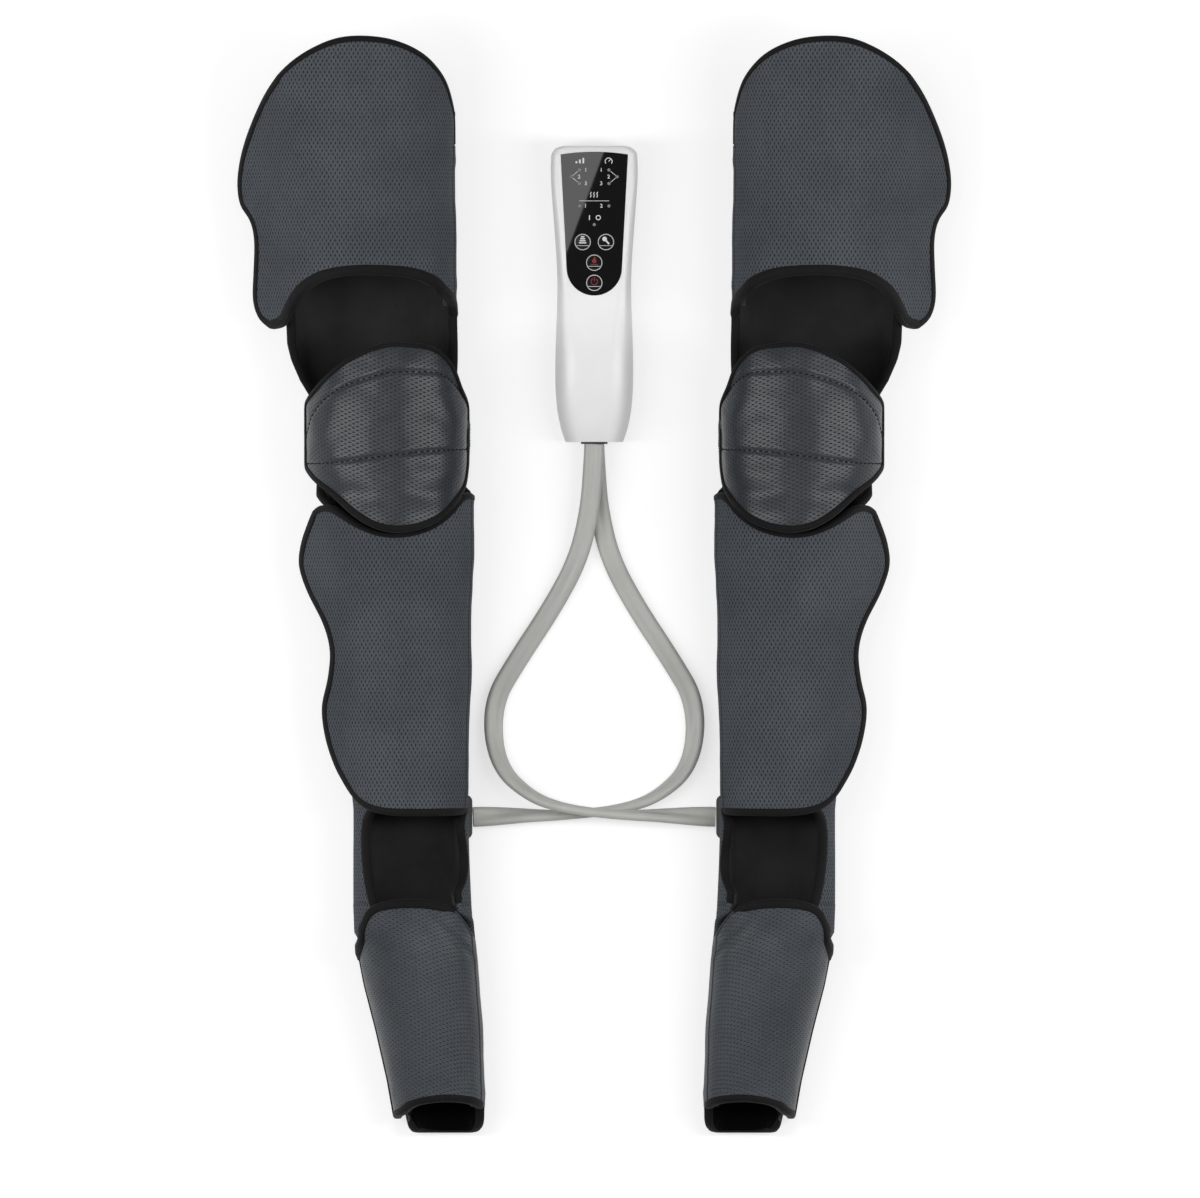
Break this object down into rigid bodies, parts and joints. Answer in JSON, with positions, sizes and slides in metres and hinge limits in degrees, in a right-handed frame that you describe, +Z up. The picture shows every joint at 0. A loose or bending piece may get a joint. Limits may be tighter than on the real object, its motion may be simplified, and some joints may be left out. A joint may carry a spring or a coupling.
{
  "type": "air compression leg massager",
  "caption": "Pair of full-leg air compression sleeves with folding thigh, knee, calf and foot flaps, joined by flat hoses to a handset with pressable round keys.",
  "frame": {"origin": "middle of the pair on the floor it lies on", "axes": "+Z up from the floor, +Y from the toes to the thighs, +X across the pair to the right as seen from above with the toes nearest"},
  "size_m": [0.5366, 0.8223, 0.1233],
  "materials": {
    "grey_mesh": "matte",
    "pad_weave": "matte",
    "black_lining": "matte",
    "webbing": "matte",
    "hook_tape": "matte",
    "bladder_film": "satin",
    "clear_tube": "satin",
    "hose_grey": "satin",
    "rubber_boot": "satin",
    "white_shell": "gloss",
    "black_panel": "gloss",
    "board": "satin",
    "switch_black": "matte",
    "led_lens": "gloss",
    "screw_steel": "satin",
    "motor_steel": "satin",
    "pump_plastic": "matte",
    "valve_body": "matte",
    "socket_black": "satin"
  },
  "bodies": {
    "sleeves_and_handset": {"left_thigh_back_cover": "grey_mesh", "left_knee_back_panel": "black_lining", "left_calf_back_cover": "grey_mesh", "left_sole_cover": "grey_mesh", "left_back_lining": "black_lining", "left_air_bladders": "bladder_film", "left_air_line": "clear_tube", "left_hose_inlet": "rubber_boot", "left_knee_straps": "webbing", "right_thigh_back_cover": "grey_mesh", "right_knee_back_panel": "black_lining", "right_calf_back_cover": "grey_mesh", "right_sole_cover": "grey_mesh", "right_back_lining": "black_lining", "right_air_bladders": "bladder_film", "right_air_line": "clear_tube", "right_hose_inlet": "rubber_boot", "right_knee_straps": "webbing", "left_hose": "hose_grey", "right_hose": "hose_grey", "front_shell": "white_shell", "rear_shell": "white_shell", "display_panel": "black_panel", "circuit_board": "board", "tact_switches": "switch_black", "indicator_leds": "led_lens", "shell_screws": "screw_steel", "pump_motor": "motor_steel", "pump_head": "pump_plastic", "air_manifold": "pump_plastic", "solenoid_valves": "valve_body", "air_tubes": "clear_tube", "hose_grommet": "rubber_boot", "power_socket": "socket_black"},
    "left_thigh_flap": {"left_thigh_flap_cover": "grey_mesh", "left_thigh_flap_lining": "black_lining", "left_thigh_hook_strip": "hook_tape"},
    "left_calf_flap": {"left_calf_flap_cover": "grey_mesh", "left_calf_flap_lining": "black_lining", "left_calf_hook_strip": "hook_tape"},
    "left_foot_flap": {"left_foot_flap_cover": "grey_mesh", "left_foot_flap_lining": "black_lining", "left_foot_hook_strip": "hook_tape"},
    "left_knee_cushion": {"left_knee_pad": "pad_weave", "left_knee_heater": "black_lining"},
    "right_thigh_flap": {"right_thigh_flap_cover": "grey_mesh", "right_thigh_flap_lining": "black_lining", "right_thigh_hook_strip": "hook_tape"},
    "right_calf_flap": {"right_calf_flap_cover": "grey_mesh", "right_calf_flap_lining": "black_lining", "right_calf_hook_strip": "hook_tape"},
    "right_foot_flap": {"right_foot_flap_cover": "grey_mesh", "right_foot_flap_lining": "black_lining", "right_foot_hook_strip": "hook_tape"},
    "right_knee_cushion": {"right_knee_pad": "pad_weave", "right_knee_heater": "black_lining"},
    "mode_key_body": {"mode_key": "black_panel"},
    "pressure_key_body": {"pressure_key": "black_panel"},
    "heat_key_body": {"heat_key": "black_panel"},
    "power_key_body": {"power_key": "black_panel"}
  },
  "joints": [
    {"name": "left_thigh_flap_fold", "type": "hinge", "parent": "sleeves_and_handset", "child": "left_thigh_flap", "pos_m": [-0.104, 0.303, 0.05529], "axis": [-0.0092, 0.9996, 0.0279], "range_deg": [0, 110]},
    {"name": "left_calf_flap_fold", "type": "hinge", "parent": "sleeves_and_handset", "child": "left_calf_flap", "pos_m": [-0.09251, -0.054, 0.0418], "axis": [0.0221, 0.9993, 0.0308], "range_deg": [0, 110]},
    {"name": "left_foot_flap_fold", "type": "hinge", "parent": "sleeves_and_handset", "child": "left_foot_flap", "pos_m": [-0.08699, -0.3255, 0.0303], "axis": [-0.0581, 0.9959, 0.07], "range_deg": [0, 110]},
    {"name": "left_knee_cushion_fold", "type": "hinge", "parent": "sleeves_and_handset", "child": "left_knee_cushion", "pos_m": [-0.09406, 0.10995, 0.05398], "axis": [0, 1, 0], "range_deg": [0, 110]},
    {"name": "right_thigh_flap_fold", "type": "hinge", "parent": "sleeves_and_handset", "child": "right_thigh_flap", "pos_m": [0.104, 0.303, 0.05529], "axis": [-0.0092, -0.9996, -0.0279], "range_deg": [0, 110]},
    {"name": "right_calf_flap_fold", "type": "hinge", "parent": "sleeves_and_handset", "child": "right_calf_flap", "pos_m": [0.09251, -0.054, 0.0418], "axis": [0.0221, -0.9993, -0.0308], "range_deg": [0, 110]},
    {"name": "right_foot_flap_fold", "type": "hinge", "parent": "sleeves_and_handset", "child": "right_foot_flap", "pos_m": [0.08699, -0.3255, 0.0303], "axis": [-0.0581, -0.9959, -0.07], "range_deg": [0, 110]},
    {"name": "right_knee_cushion_fold", "type": "hinge", "parent": "sleeves_and_handset", "child": "right_knee_cushion", "pos_m": [0.09406, 0.10995, 0.05398], "axis": [0, -1, 0], "range_deg": [0, 110]},
    {"name": "mode_key_press", "type": "slide", "parent": "sleeves_and_handset", "child": "mode_key_body", "axis": [0, 0, -1], "range_m": [0, 0.0005], "stiffness_N_per_m": 600},
    {"name": "pressure_key_press", "type": "slide", "parent": "sleeves_and_handset", "child": "pressure_key_body", "axis": [0, 0, -1], "range_m": [0, 0.0005], "stiffness_N_per_m": 600},
    {"name": "heat_key_press", "type": "slide", "parent": "sleeves_and_handset", "child": "heat_key_body", "axis": [0, 0, -1], "range_m": [0, 0.0005], "stiffness_N_per_m": 600},
    {"name": "power_key_press", "type": "slide", "parent": "sleeves_and_handset", "child": "power_key_body", "axis": [0, 0, -1], "range_m": [0, 0.0005], "stiffness_N_per_m": 600}
  ]
}
